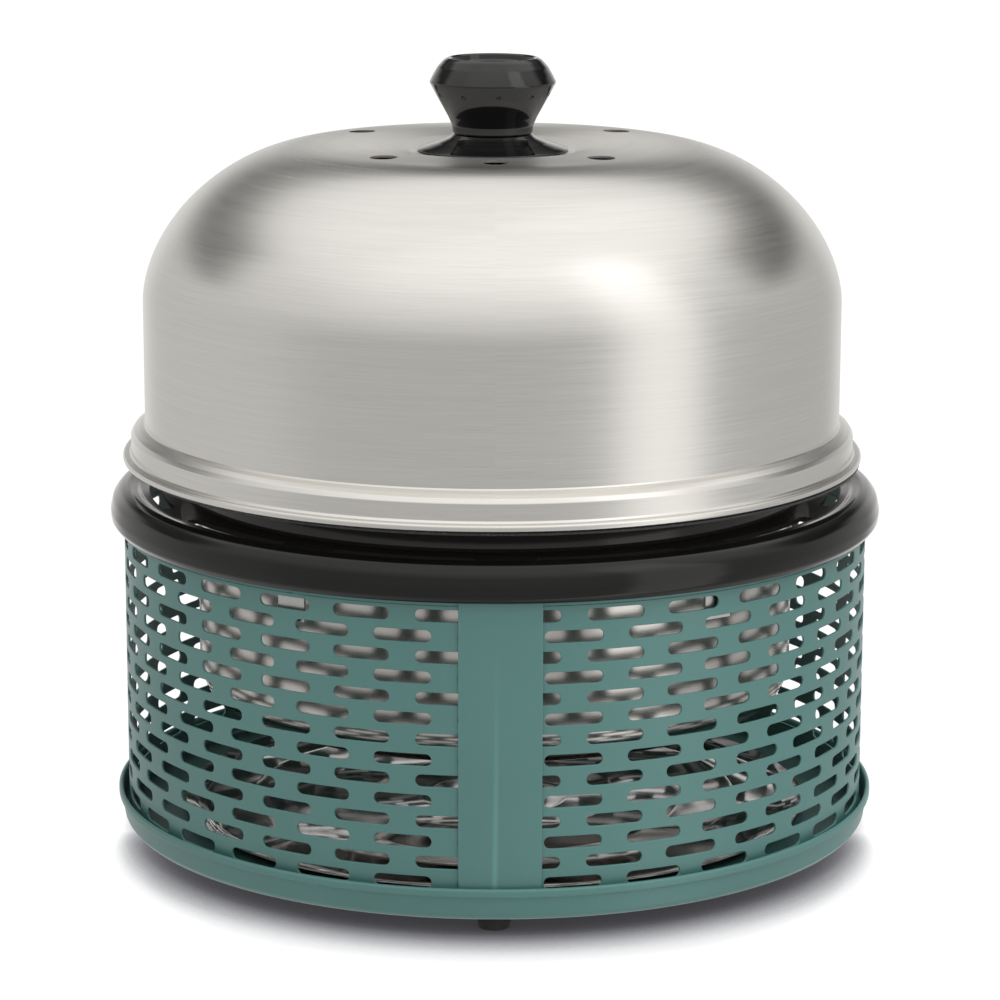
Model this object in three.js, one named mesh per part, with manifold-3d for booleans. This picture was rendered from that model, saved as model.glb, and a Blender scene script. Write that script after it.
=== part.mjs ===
// Portable table-top charcoal cooker: a perforated base with a black carrying ring, an inner bowl,
// a fire basket, a grill plate and a domed lid. Millimetres, +Z up, origin on the floor at the axis.
// The front, where the plain strap is, faces -Y. Angles run from -Y towards +X.
import * as THREE from 'three';
import { mergeVertices } from 'three/addons/utils/BufferGeometryUtils.js';
import Module from 'manifold-3d';

const wasm = await Module();
wasm.setup();

// ---- driving dimensions ----
const GAP = 0.3;                  // clearance between pieces that touch
const SHEET = 1.0;                // sheet steel thickness
const BIG = 28;                   // facets of a large turned part
const MID = 20;                   // facets of a knob-sized part
const SMALL = 8;                  // facets of a screw

const FEET = 4;
const FOOT_R = 7;                 // foot radius
const FOOT_H = 6.7;
const FOOT_CIRCLE = 141.5;
const TRAY_Z = FOOT_H + GAP;      // underside of the tray
const TRAY_R = 157.0;             // tray wall at its foot
const BEAD_R = 159.3;             // rolled bead on the tray's rim
const TRAY_TOP = 20.6;

const SLEEVE_R = 155;
const SLEEVE_Z0 = 10;
const SLEEVE_Z1 = 136;
const COLUMNS = 29;
const COLUMN_PITCH = 12.28;       // degrees
const COLUMN_START = -0.95;       // degrees, a slot column near the front
const SLOT_ROWS = 14;
const SLOT_TOP_Z = 127.5;
const ROW_PITCH = 8.17;
const SLOT_L = 23;
const SLOT_H = 4.8;

const STRAP_ANGLE = 0.83;         // degrees, middle of the strap
const STRAP_SPAN = 11.9;          // degrees
const STRAP_SHEET = 0.8;
const STRAP_Z0 = 16;
const STRAP_Z1 = 135;

const RING_R = 160.5;             // widest part of the carrying ring
const RING_Z0 = 133.4;
const CREST_R = 152.8;
const CREST_Z = 148.9;
const LEDGE_Z = 146.8;            // slotted ledge between the crest and the collar
const COLLAR_R = 126.5;
const COLLAR_TOP = 155.8;
const RING_SLOTS = 11;
const RING_SLOT_R = [139, 144.4];
const RING_SLOT_SPAN = 23.4;      // degrees
const RING_LAND = 1.75;           // degrees, middle of the front land between two slots
const BOSS_CIRCLE = 139;
const BOSS_R = 3.6;
const BOSS_Z = 139;
const BRACKET_LANDS = [1, 4, 7, 10];

const BOWL_R = 124.3;
const BOWL_BOTTOM = 57;
const BOWL_CORNER = 18.3;         // radius of the bowl's lower corner
const BOWL_RIM_Z = COLLAR_TOP + GAP;
const MOUND_Z = 81.6;             // raised middle that the basket stands on
const MOUND_R = 56.5;

const BASKET_R = 50;
const BASKET_SEAT_R = 44;         // inner edge of the turned-in foot that carries the grate
const BASKET_Z0 = MOUND_Z + GAP;
const BASKET_Z1 = 116;
const BASKET_SLOTS = 16;
const PIVOT_Z = 121;
const WIRE_R = 1.7;
const BAIL_REACH = 31;

const PLATE_R = 151.9;
const PLATE_TOP = 161.4;
const PLATE_FLANGE_Z = BOWL_RIM_Z + SHEET + GAP;
const PLATE_SLOTS = 12;

const LID_SHIFT_X = -1.3;         // the lid sits a little off centre on the plate
const LID_SHEET = 0.9;
const LID_R = 144.4;              // upright wall of the dome
const LID_RIM_R = 153.7;
const LID_RIM_Z = 159.7;
const SHOULDER_R = 76;            // where the shoulder curve meets the crown
const SHOULDER_Z = 226;           // where the upright wall starts to curve in
const CROWN_Z = 289.4;
const SHOULDER_POWER = 1.78;
const CROWN = [[66, 289.8], [58, 289.9], [50, 289.4], [42, 288.4]];
const DISH_Z = 286.4;             // flat seat of the knob in the crown
const VENT_ANGLES = [1, 40, 129, 181, 235, 320];
const VENT_CIRCLE = 67.2;
const VENT_R = 5.6;

const SKIRT_R = 31;
const SKIRT_TOP = 293.4;
const KNOB_Z0 = SKIRT_TOP + GAP;
const KNOB_EDGE_R = 25.9;
const KNOB_EDGE_Z = 315;
const KNOB_TOP = 324.8;

// ---- colours and finishes ----
const finish = (color, roughness, metalness) => ({ color, roughness, metalness });
const TEAL = finish(0x5f9189, 0.5, 0.1);
const STAINLESS = finish(0xb9b6b1, 0.35, 1.0);
const POLISHED = finish(0xd8d8d8, 0.15, 1.0);
const RING_BLACK = finish(0x262524, 0.35, 0.0);
const KNOB_BLACK = finish(0x121212, 0.15, 0.0);
const COATED = finish(0x1c1c1d, 0.55, 0.2);
const RUBBER = finish(0x191919, 0.9, 0.0);
const BRASS = finish(0xb08d4a, 0.35, 1.0);

// ---- helpers ----
const rad = THREE.MathUtils.degToRad;
const at = (r, degrees) => [r * Math.sin(rad(degrees)), -r * Math.cos(rad(degrees))];
const group = new THREE.Group();

function piece(name, geometry, look, parent = group) {
  const mesh = new THREE.Mesh(geometry, new THREE.MeshStandardMaterial(look));
  mesh.name = name;
  parent.add(mesh);
  return mesh;
}

// Turns [radius, height] points about +Z. The outline runs anticlockwise: up the outside first.
function turned(outline, facets, closed = true) {
  const points = outline.map(([r, z]) => new THREE.Vector2(r, z));
  if (closed) points.push(points[0].clone());
  return new THREE.LatheGeometry(points, facets).rotateX(Math.PI / 2);
}

const turnedOnAxis = (outline, facets) => turned(outline, facets, false);

function prism(points, z0, z1) {
  const shape = new THREE.Shape(points.map(([x, y]) => new THREE.Vector2(x, y)));
  const depth = z1 - z0;
  return new THREE.ExtrudeGeometry(shape, { depth, bevelEnabled: false, steps: 1 }).translate(0, 0, z0);
}

function sector(rIn, rOut, a0, a1, z0, z1, steps) {
  const angles = Array.from({ length: steps + 1 }, (_, i) => a0 + ((a1 - a0) * i) / steps);
  const outer = angles.map((a) => at(rOut, a));
  const inner = angles.map((a) => at(rIn, a)).reverse();
  return prism([...outer, ...inner], z0, z1);
}

// A block whose length runs along the radius at the given angle.
function block(r0, r1, width, z0, z1, degrees) {
  const box = new THREE.BoxGeometry(width, r1 - r0, z1 - z0);
  box.translate(0, -(r0 + r1) / 2, (z0 + z1) / 2);
  return box.rotateZ(rad(degrees));
}

function rod(radius, z0, z1, x, y, facets = SMALL) {
  const cylinder = new THREE.CylinderGeometry(radius, radius, z1 - z0, facets);
  return cylinder.rotateX(Math.PI / 2).translate(x, y, (z0 + z1) / 2);
}

function solid(geometry) {
  const bare = geometry.index ? geometry.toNonIndexed() : geometry.clone();
  bare.deleteAttribute('normal');
  bare.deleteAttribute('uv');
  const merged = mergeVertices(bare, 1e-4);
  const triangles = [];
  const index = merged.index.array;
  for (let i = 0; i < index.length; i += 3) {
    const [a, b, c] = [index[i], index[i + 1], index[i + 2]];
    if (a !== b && b !== c && c !== a) triangles.push(a, b, c);
  }
  return new wasm.Manifold(new wasm.Mesh({
    numProp: 3,
    vertProperties: Float32Array.from(merged.attributes.position.array),
    triVerts: Uint32Array.from(triangles),
  }));
}

function geometryOf(manifold) {
  const mesh = manifold.getMesh();
  const geometry = new THREE.BufferGeometry();
  geometry.setAttribute('position', new THREE.BufferAttribute(Float32Array.from(mesh.vertProperties), 3));
  geometry.setIndex(new THREE.BufferAttribute(Uint32Array.from(mesh.triVerts), 1));
  return geometry;
}

const joinAll = (geometries) => geometries.map(solid).reduce((a, b) => a.add(b));
const cut = (geometry, cutters) => geometryOf(solid(geometry).subtract(joinAll(cutters)));

// Points of a quarter turn from angle0 to angle1 (degrees from +r towards +z).
function arc(r, z, radius, angle0, angle1, steps) {
  return Array.from({ length: steps + 1 }, (_, i) => {
    const a = rad(angle0 + ((angle1 - angle0) * i) / steps);
    return [r + radius * Math.cos(a), z + radius * Math.sin(a)];
  });
}

// A round-headed screw along +Z with its head's underside at the given height.
function screw(shankR, headR, tip, seat, headTop) {
  return turnedOnAxis([
    [0, tip], [shankR, tip], [shankR, seat], [headR, seat],
    [headR * 0.75, headTop], [headR * 0.35, headTop], [headR * 0.35, headTop - 0.8], [0, headTop - 0.8],
  ], SMALL);
}

// ---- base ----
function makeTray() {
  const floor = TRAY_Z + 1.2;
  const body = turnedOnAxis([
    [0, TRAY_Z], [153, TRAY_Z], [156.2, TRAY_Z + 0.9], [TRAY_R, TRAY_Z + 2.8], [158.2, 16.8],
    [BEAD_R, 17.6], [BEAD_R, 19.6], [158.5, TRAY_TOP], [157.5, 20.2],
    [157.3, 17], [156.1, 9.8], [153.4, floor], [0, floor],
  ], BIG);
  const holes = feetAngles().map((a) => rod(2.4, TRAY_Z - 1, floor + 1, ...at(FOOT_CIRCLE, a)));
  piece('base_tray', cut(body, holes), TEAL);
}

function feetAngles() {
  return Array.from({ length: FEET }, (_, i) => (360 / FEET) * i);
}

function makeFeet() {
  feetAngles().forEach((a, i) => {
    const [x, y] = at(FOOT_CIRCLE, a);
    const foot = turnedOnAxis([
      [0, 0], [FOOT_R - 0.6, 0], [FOOT_R, 0.7], [FOOT_R, FOOT_H - 1], [FOOT_R - 0.5, FOOT_H],
      [2.4, FOOT_H], [2.4, 2], [0, 2],
    ], 12);
    piece(`rubber_foot_${i + 1}`, foot, RUBBER).position.set(x, y, 0);
    const seat = TRAY_Z + 1.2 + GAP;
    piece(`foot_screw_${i + 1}`, screw(2, 3.6, 2.3, seat, seat + 2), STAINLESS).position.set(x, y, 0);
  });
}

function makeReflector() {
  const low = TRAY_Z + 1.2 + GAP;
  const wave = [[0, 2.4], [30, 0.6], [52, 2.2], [78, 0.6], [102, 2.2], [124, 0]];
  const under = wave.map(([r, z]) => [r, low + z]);
  const over = wave.map(([r, z]) => [r, low + z + 0.8]).reverse();
  const rim = [[132, low + 3.4], [131.4, low + 4.2]];
  piece('heat_reflector', turnedOnAxis([...under, ...rim, ...over], BIG), POLISHED);
}

function columnAngles() {
  const middle = (COLUMNS - 1) / 2;
  return Array.from({ length: COLUMNS }, (_, i) => COLUMN_START + (i - middle) * COLUMN_PITCH);
}

// The sleeve's facets turn at the even slot columns, so that the odd ones lie flat between them.
function makeSleeve() {
  const even = columnAngles();
  const ring = (r) => even.map((a) => at(r, a));
  const tube = solid(prism(ring(SLEEVE_R), SLEEVE_Z0, SLEEVE_Z1))
    .subtract(solid(prism(ring(SLEEVE_R - SHEET), SLEEVE_Z0 - 1, SLEEVE_Z1 + 1)));
  const odd = even.map((a, i) => {
    const next = i + 1 < COLUMNS ? even[i + 1] : even[0] + 360;
    return (a + next) / 2;
  });
  const cutters = [];
  for (let row = 0; row < SLOT_ROWS; row += 1) {
    const z = SLOT_TOP_Z - row * ROW_PITCH;
    for (const a of row % 2 ? even : odd) {
      cutters.push(block(SLEEVE_R - 6, SLEEVE_R + 4, SLOT_L, z - SLOT_H / 2, z + SLOT_H / 2, a));
    }
  }
  piece('perforated_sleeve', geometryOf(tube.subtract(joinAll(cutters))), TEAL);
}

function makeStrap() {
  const [a0, a1] = [STRAP_ANGLE - STRAP_SPAN / 2, STRAP_ANGLE + STRAP_SPAN / 2];
  const inner = SLEEVE_R + GAP;
  piece('front_strap', sector(inner, inner + STRAP_SHEET, a0, a1, STRAP_Z0, STRAP_Z1, 4), TEAL);
}

const landAngle = (land) => RING_LAND + (360 / RING_SLOTS) * land;

function makeRing() {
  const under = LEDGE_Z - 1.9;
  const body = turned([
    [157.2, RING_Z0 + 0.4], [158.4, RING_Z0], [160.2, 135], [RING_R, 138.5], [RING_R - 0.2, 141.6],
    [158.8, 144.8], [156, 147.6], [CREST_R, CREST_Z], [149.8, 148.4], [147.8, 147.2], [146, LEDGE_Z],
    [COLLAR_R + 3.2, LEDGE_Z - 0.2], [COLLAR_R + 2.2, LEDGE_Z + 0.9], [COLLAR_R, 155.2], [125.8, COLLAR_TOP],
    [125, 155.4], [125, under + 0.6], [126, under], [146.4, under], [149.6, 146.2],
    [CREST_R, CREST_Z - 1.8], [156.2, 145.2], [158.3, 141.6], [158.5, 137],
  ], BIG);
  const bossTops = LEDGE_Z - 0.8;
  const bosses = BRACKET_LANDS.map((k) => rod(BOSS_R, BOSS_Z, bossTops, ...at(BOSS_CIRCLE, landAngle(k))));
  const pilots = BRACKET_LANDS.map((k) => rod(2.1, BOSS_Z - 1, 144.6, ...at(BOSS_CIRCLE, landAngle(k))));
  const slots = Array.from({ length: RING_SLOTS }, (_, k) => {
    const middle = landAngle(k + 0.5);
    const half = RING_SLOT_SPAN / 2;
    return sector(...RING_SLOT_R, middle - half, middle + half, 140, 150, 3);
  });
  const whole = solid(body).add(joinAll(bosses)).subtract(joinAll([...pilots, ...slots]));
  piece('cool_touch_ring', geometryOf(whole), RING_BLACK);
}

function makeBrackets() {
  BRACKET_LANDS.forEach((k, i) => {
    const a = landAngle(k);
    const top = BOSS_Z - GAP;
    const leg = solid(block(151.4, 152.6, 12, 120, top, a));
    const foot = solid(block(133, 152.6, 12, top - 1.2, top, a));
    const hole = rod(2.3, top - 3, top + 1, ...at(BOSS_CIRCLE, a));
    piece(`ring_bracket_${i + 1}`, geometryOf(leg.add(foot).subtract(solid(hole))), STAINLESS);
    const seat = top - 1.2 - GAP;
    const upright = screw(1.8, 3.4, -6.6, 0, 2).rotateX(Math.PI);
    piece(`ring_screw_${i + 1}`, upright, STAINLESS).position.set(...at(BOSS_CIRCLE, a), seat);
  });
}

// ---- bowl ----
function makeBowl() {
  const cornerZ = BOWL_BOTTOM + BOWL_CORNER;
  const cornerR = BOWL_R - BOWL_CORNER;
  const rim = BOWL_RIM_Z;
  piece('inner_bowl', turnedOnAxis([
    [0, MOUND_Z - SHEET], [MOUND_R - 0.7, MOUND_Z - SHEET], [66, 60], [71, BOWL_BOTTOM],
    ...arc(cornerR, cornerZ, BOWL_CORNER, -90, 0, 4),
    [BOWL_R, rim - 0.6], [BOWL_R + 0.6, rim], [131, rim], [131, rim + SHEET],
    [BOWL_R - 0.2, rim + SHEET], [BOWL_R - SHEET, rim - 0.2],
    ...arc(cornerR, cornerZ, BOWL_CORNER - SHEET, 0, -90, 4),
    [71.6, BOWL_BOTTOM + SHEET], [66.9, 60.6], [MOUND_R, MOUND_Z], [0, MOUND_Z],
  ], BIG), STAINLESS);
}

// ---- fire basket ----
function makeBasket() {
  const wall = turned([
    [BASKET_SEAT_R, BASKET_Z0], [BASKET_R, BASKET_Z0], [BASKET_R, BASKET_Z1 - 2],
    [BASKET_R + 1.2, BASKET_Z1 - 1.4], [BASKET_R + 1.2, BASKET_Z1], [BASKET_R - SHEET, BASKET_Z1],
    [BASKET_R - SHEET, BASKET_Z0 + SHEET], [BASKET_SEAT_R, BASKET_Z0 + SHEET],
  ], BIG);
  const [lugZ0, lugZ1] = [BASKET_Z1 - 6, PIVOT_Z + 4.5];
  const lugs = [90, 270].map((a) => block(BASKET_R - SHEET, BASKET_R + 0.2, 10, lugZ0, lugZ1, a));
  const eyes = new THREE.CylinderGeometry(2.1, 2.1, 120, SMALL).rotateZ(Math.PI / 2);
  eyes.translate(0, 0, PIVOT_Z);
  const slots = Array.from({ length: BASKET_SLOTS }, (_, i) => {
    const a = (360 / BASKET_SLOTS) * (i + 0.5);
    return block(BASKET_R - 5, BASKET_R + 5, 7, BASKET_Z0 + 8, BASKET_Z1 - 9, a);
  });
  const whole = solid(wall).add(joinAll(lugs)).subtract(joinAll([eyes, ...slots]));
  piece('fire_basket', geometryOf(whole), STAINLESS);
  const grateZ = BASKET_Z0 + SHEET + GAP;
  const grateR = BASKET_R - SHEET - 0.6;
  const disc = rod(grateR, grateZ, grateZ + SHEET, 0, 0, MID);
  const bars = [-30, -18, -6, 6, 18, 30].map((x) => {
    const half = Math.sqrt(42 ** 2 - x ** 2);
    return new THREE.BoxGeometry(5, half * 2, 6).translate(x, 0, grateZ);
  });
  piece('basket_grate', cut(disc, bars), STAINLESS);
}

// The bail lies flat over the basket's rim at rest. Its ends turn in through the two lugs.
function makeBail() {
  const half = [[-47.5, 0], [-51.8, 0], [-54, 1.6], [-54.3, 5], [-53, 12], [-46, 22], [-30, 28.6]];
  const mirrored = half.map(([x, d]) => [-x, d]).reverse();
  const path = [...half, [0, BAIL_REACH], ...mirrored];
  const points = path.map(([x, d]) => new THREE.Vector3(x, -d, PIVOT_Z));
  const curve = new THREE.CatmullRomCurve3(points, false, 'centripetal');
  const section = new THREE.Shape(arc(0, 0, WIRE_R, 0, 300, 5).map(([x, y]) => new THREE.Vector2(x, y)));
  const wire = new THREE.ExtrudeGeometry(section, { steps: 32, extrudePath: curve, bevelEnabled: false });
  piece('basket_bail', wire, STAINLESS);
}

// ---- grill plate ----
function makePlate() {
  const low = PLATE_FLANGE_Z;
  const plate = turnedOnAxis([
    [0, 159.4], [90, 158.8], [101, 151], [118, 151], [121.4, low], [131, low], [PLATE_R - 0.3, 158.2],
    [PLATE_R, 158.9], [PLATE_R - 0.3, 159.4], [131, low + 1.4], [122.4, low + 1.4], [117, 153], [102, 153],
    [91.4, PLATE_TOP - 0.4], [84, PLATE_TOP], [0, PLATE_TOP],
  ], BIG);
  const slots = Array.from({ length: PLATE_SLOTS }, (_, i) => {
    return block(48, 80, 4, 150, 170, (360 / PLATE_SLOTS) * i);
  });
  piece('grill_plate', cut(plate, slots), COATED);
}

// ---- lid ----
// The shoulder is a quarter of a superellipse between the upright wall and the crown.
function shoulder(inset, steps) {
  const power = 2 / SHOULDER_POWER;
  const [a, b] = [LID_R - inset - SHOULDER_R, CROWN_Z - inset - SHOULDER_Z];
  return Array.from({ length: steps + 1 }, (_, i) => {
    const t = ((Math.PI / 2) * i) / steps;
    return [SHOULDER_R + a * Math.cos(t) ** power, SHOULDER_Z + b * Math.sin(t) ** power];
  });
}

function makeLid(lid) {
  const t = LID_SHEET;
  const outside = [
    [LID_RIM_R - 1, LID_RIM_Z], [LID_RIM_R, LID_RIM_Z + 1], [LID_RIM_R, 162.1], [152.4, 162.9],
    [150.6, 163.1], [150.2, 170.4], [149, 172], [146.8, 173.4], [LID_R + 0.3, 174.4],
    ...shoulder(0, 7), ...CROWN, [34, DISH_Z], [3.2, DISH_Z],
  ];
  const inside = [
    [3.2, DISH_Z - t], [34.1, DISH_Z - t], ...CROWN.map(([r, z]) => [r, z - t]).reverse(),
    ...shoulder(t, 7).reverse(), [LID_R + 0.1 - t, 173.7], [146.4, 172.6], [148.3, 171.3],
    [149.3, 170.1], [149.4, LID_RIM_Z],
  ];
  const vents = VENT_ANGLES.map((a) => rod(VENT_R, 270, 300, ...at(VENT_CIRCLE, a), SMALL));
  piece('lid_dome', cut(turned([...outside, ...inside], BIG), vents), STAINLESS, lid);
}

function makeKnob(lid) {
  piece('knob_skirt', turned([
    [5, DISH_Z + GAP], [SKIRT_R - 0.6, DISH_Z + GAP], [SKIRT_R, 287.2], [29.4, 288], [22.5, 290],
    [17.6, 292.1], [16.3, SKIRT_TOP], [5, SKIRT_TOP],
  ], MID), KNOB_BLACK, lid);
  piece('lid_knob', turnedOnAxis([
    [0, 312], [4.4, 312], [4.4, KNOB_Z0], [16.3, KNOB_Z0], [16.7, 297], [18.3, 300.6], [20.8, 305.1],
    [23.7, 310], [25.3, 313.2], [KNOB_EDGE_R, KNOB_EDGE_Z], [24.6, 317.6], [22.4, 321.2], [19.6, 324.2],
    [18.6, KNOB_TOP], [17.2, 324.2], [16.2, 321], [0, 321],
  ], MID), KNOB_BLACK, lid);
  piece('knob_cap', turnedOnAxis([
    [0, 321 + GAP], [15.6, 321 + GAP], [15.6, 322.4], [9, 323], [0, 323.2],
  ], MID), KNOB_BLACK, lid);
  piece('knob_insert', turned([[2.5, 296], [4.1, 296], [4.1, 311.7], [2.5, 311.7]], SMALL), BRASS, lid);
  const washerTop = DISH_Z - LID_SHEET - GAP;
  piece('knob_washer', turned([
    [3, washerTop - 1.3], [8.5, washerTop - 1.3], [8.5, washerTop], [3, washerTop],
  ], 12), STAINLESS, lid);
  const seat = washerTop - 1.3 - GAP;
  const knobScrew = screw(2, 4.3, -28, 0, 3).rotateX(Math.PI).translate(0, 0, seat);
  piece('knob_screw', knobScrew, STAINLESS, lid);
}

makeFeet();
makeTray();
makeReflector();
makeSleeve();
makeStrap();
makeRing();
makeBrackets();
makeBowl();
makeBasket();
makeBail();
makePlate();

const lid = new THREE.Group();
lid.position.x = LID_SHIFT_X;
group.add(lid);
makeLid(lid);
makeKnob(lid);

export default group;
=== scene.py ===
import math

import bmesh
import bpy
from mathutils import Matrix, Vector


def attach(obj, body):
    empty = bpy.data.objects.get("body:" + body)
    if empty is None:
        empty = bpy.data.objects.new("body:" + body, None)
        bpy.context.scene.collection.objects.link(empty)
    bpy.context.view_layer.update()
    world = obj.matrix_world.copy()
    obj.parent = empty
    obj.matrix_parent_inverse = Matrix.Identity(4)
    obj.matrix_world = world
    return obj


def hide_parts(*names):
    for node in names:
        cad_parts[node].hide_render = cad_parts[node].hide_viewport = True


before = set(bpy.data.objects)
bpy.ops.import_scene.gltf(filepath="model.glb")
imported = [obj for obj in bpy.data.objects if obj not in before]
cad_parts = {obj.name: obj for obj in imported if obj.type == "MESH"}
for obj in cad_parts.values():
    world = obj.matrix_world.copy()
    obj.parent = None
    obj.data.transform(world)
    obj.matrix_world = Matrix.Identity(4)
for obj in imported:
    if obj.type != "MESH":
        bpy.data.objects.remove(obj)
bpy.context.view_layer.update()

scene = bpy.context.scene
MM = 0.001
FINE = 160               # facets of a large turned piece
SMOOTH = 64              # facets of a knob-sized piece
SMOOTH_ANGLE = 32        # degrees, edges that turn by more stay sharp
ON_AXIS = 1e-9           # the least radius of a turned outline's points
FLAT_ON_SHEET = 0.985    # how squarely a face of a rolled sheet looks in or out

# ---- sizes in millimetres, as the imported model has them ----
GAP = 0.3                # between pieces that touch
SHEET = 1.0
FEET, FOOT_CIRCLE = 4, 141.5
SLEEVE_R = 155
SLEEVE_Z0, SLEEVE_Z1 = 10, 136
COLUMNS, COLUMN_PITCH, COLUMN_START = 29, 12.28, -0.95
ROWS, ROW_PITCH, TOP_ROW_Z = 14, 8.17, 127.5
SLOT_L, SLOT_H = 23, 4.8
STRAP_ANGLE, STRAP_SPAN = 0.83, 11.9
STRAP_SHEET, STRAP_Z0, STRAP_Z1 = 0.8, 16, 135
RING_SLOTS, RING_SLOT_SPAN, RING_LAND = 11, 23.4, 1.75
LEDGE_Z, CREST_R, CREST_Z, RING_R, COLLAR_R = 146.8, 152.8, 148.9, 160.5, 126.5
RING_Z0 = 133.4
RING_SLOT_IN, RING_SLOT_OUT = 139, 144.4
BOSS_CIRCLE = 139
BOSS_LANDS = (1, 4, 7, 10)    # which lands between the ring's slots carry a boss
LID_SHIFT, LID_SHEET = -1.3, 0.9
LID_R, SHOULDER_R, SHOULDER_Z, CROWN_Z, SHOULDER_POWER = 144.4, 76, 226, 289.4, 1.78
# The crown between the shoulder and the dish: radius, height and how far each corner is rounded.
CROWN = [(66, 289.8, 8), (58, 289.9, 6), (50, 289.4, 6), (42, 288.4, 5)]
DISH_Z = 286.4
VENT_ANGLES, VENT_CIRCLE, VENT_R = (1, 40, 129, 181, 235, 320), 67.2, 5.6
BASKET_R, BASKET_Z0, BASKET_Z1, PIVOT_Z = 50, 81.9, 116, 121
WIRE_R = 1.7


# ---- mesh helpers ----
def at(r, degrees):
    """A point in plan, its angle running from -Y towards +X."""
    a = math.radians(degrees)
    return r * math.sin(a), -r * math.cos(a)


def make(name, verts, faces):
    mesh = bpy.data.meshes.new(name)
    mesh.from_pydata([Vector(v) * MM for v in verts], [], faces)
    mesh.validate()
    bm = bmesh.new()
    bm.from_mesh(mesh)
    bmesh.ops.remove_doubles(bm, verts=bm.verts, dist=1e-6)
    bmesh.ops.recalc_face_normals(bm, faces=bm.faces)
    bm.to_mesh(mesh)
    bm.free()
    mesh.shade_smooth()
    mesh.set_sharp_from_angle(angle=math.radians(SMOOTH_ANGLE))
    obj = bpy.data.objects.new(name, mesh)
    scene.collection.objects.link(obj)
    return obj


def filleted(outline, steps=5):
    """Rounds each (r, z, radius) corner of an outline. A corner with no radius stays sharp."""
    out = []
    count = len(outline)
    for i, corner in enumerate(outline):
        p = Vector(corner[:2])
        radius = corner[2] if len(corner) > 2 else 0
        before = Vector(outline[i - 1][:2]) - p
        after = Vector(outline[(i + 1) % count][:2]) - p
        if not radius or not before.length or not after.length:
            out.append(tuple(p))
            continue
        u, v = before.normalized(), after.normalized()
        half = u.angle(v) / 2
        reach = min(radius / math.tan(half), before.length * 0.49, after.length * 0.49)
        start, end = p + u * reach, p + v * reach
        for k in range(steps + 1):
            t = k / steps
            out.append(tuple((1 - t) ** 2 * start + 2 * t * (1 - t) * p + t ** 2 * end))
    return out


def turned(name, outline, facets=FINE, closed=True, steps=5):
    """Turns an outline about +Z. A closed outline makes a ring, an open one starts and ends on the axis."""
    points = filleted(outline, steps)
    verts, faces = [], []
    for r, z in points:
        for k in range(facets):
            x, y = at(max(r, ON_AXIS), 360 * k / facets)
            verts.append((x, y, z))
    spans = len(points) if closed else len(points) - 1
    for i in range(spans):
        j = (i + 1) % len(points)
        for k in range(facets):
            n = (k + 1) % facets
            faces.append((i * facets + k, i * facets + n, j * facets + n, j * facets + k))
    return make(name, verts, faces)


def prism(points, z0, z1):
    """Vertices and faces of a straight prism over a plan outline."""
    n = len(points)
    verts = [(x, y, z0) for x, y in points] + [(x, y, z1) for x, y in points]
    faces = [tuple(reversed(range(n))), tuple(range(n, 2 * n))]
    faces += [(i, (i + 1) % n, n + (i + 1) % n, n + i) for i in range(n)]
    return verts, faces


def gather(name, solids):
    """One mesh object out of several (vertices, faces) pairs."""
    verts, faces = [], []
    for v, f in solids:
        base = len(verts)
        verts += v
        faces += [tuple(base + i for i in face) for face in f]
    return make(name, verts, faces)


def cut(obj, cutter):
    """Cuts the cutter out of obj and removes the cutter."""
    modifier = obj.modifiers.new("cut", "BOOLEAN")
    modifier.operation, modifier.solver, modifier.object = "DIFFERENCE", "EXACT", cutter
    bpy.context.view_layer.update()
    evaluated = obj.evaluated_get(bpy.context.evaluated_depsgraph_get())
    mesh = bpy.data.meshes.new_from_object(evaluated)
    obj.modifiers.clear()
    obj.data = mesh
    mesh.set_sharp_from_angle(angle=math.radians(SMOOTH_ANGLE))
    bpy.data.objects.remove(cutter)
    return obj


def joined(parts):
    """Merges the parts into the first one."""
    first = parts[0]
    bm = bmesh.new()
    for part in parts:
        bm.from_mesh(part.data)
    bm.to_mesh(first.data)
    bm.free()
    for part in parts[1:]:
        bpy.data.objects.remove(part)
    first.data.set_sharp_from_angle(angle=math.radians(SMOOTH_ANGLE))
    return first


def bevelled(obj, width, segments=2):
    modifier = obj.modifiers.new("soft_edges", "BEVEL")
    modifier.width, modifier.segments = width * MM, segments
    modifier.limit_method, modifier.angle_limit = "ANGLE", math.radians(40)
    modifier.harden_normals = True
    return obj


def rolled(obj):
    """Applies the modifiers and gives the faces of a rolled sheet a true cylinder's normals."""
    for modifier in obj.modifiers:
        if modifier.type == "BEVEL":
            modifier.harden_normals = False
    bpy.context.view_layer.update()
    mesh = bpy.data.meshes.new_from_object(obj.evaluated_get(bpy.context.evaluated_depsgraph_get()))
    mesh.shade_smooth()
    normals = [(0, 0, 0)] * len(mesh.loops)
    for polygon in mesh.polygons:
        x, y, _ = polygon.center
        facing = polygon.normal.dot(Vector((x, y, 0)).normalized())
        if abs(facing) < FLAT_ON_SHEET:
            continue
        for loop in polygon.loop_indices:
            x, y, _ = mesh.vertices[mesh.loops[loop].vertex_index].co
            normals[loop] = Vector((x, y, 0)).normalized() * math.copysign(1, facing)
    mesh.normals_split_custom_set(normals)
    obj.modifiers.clear()
    obj.data = mesh
    return obj


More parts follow.
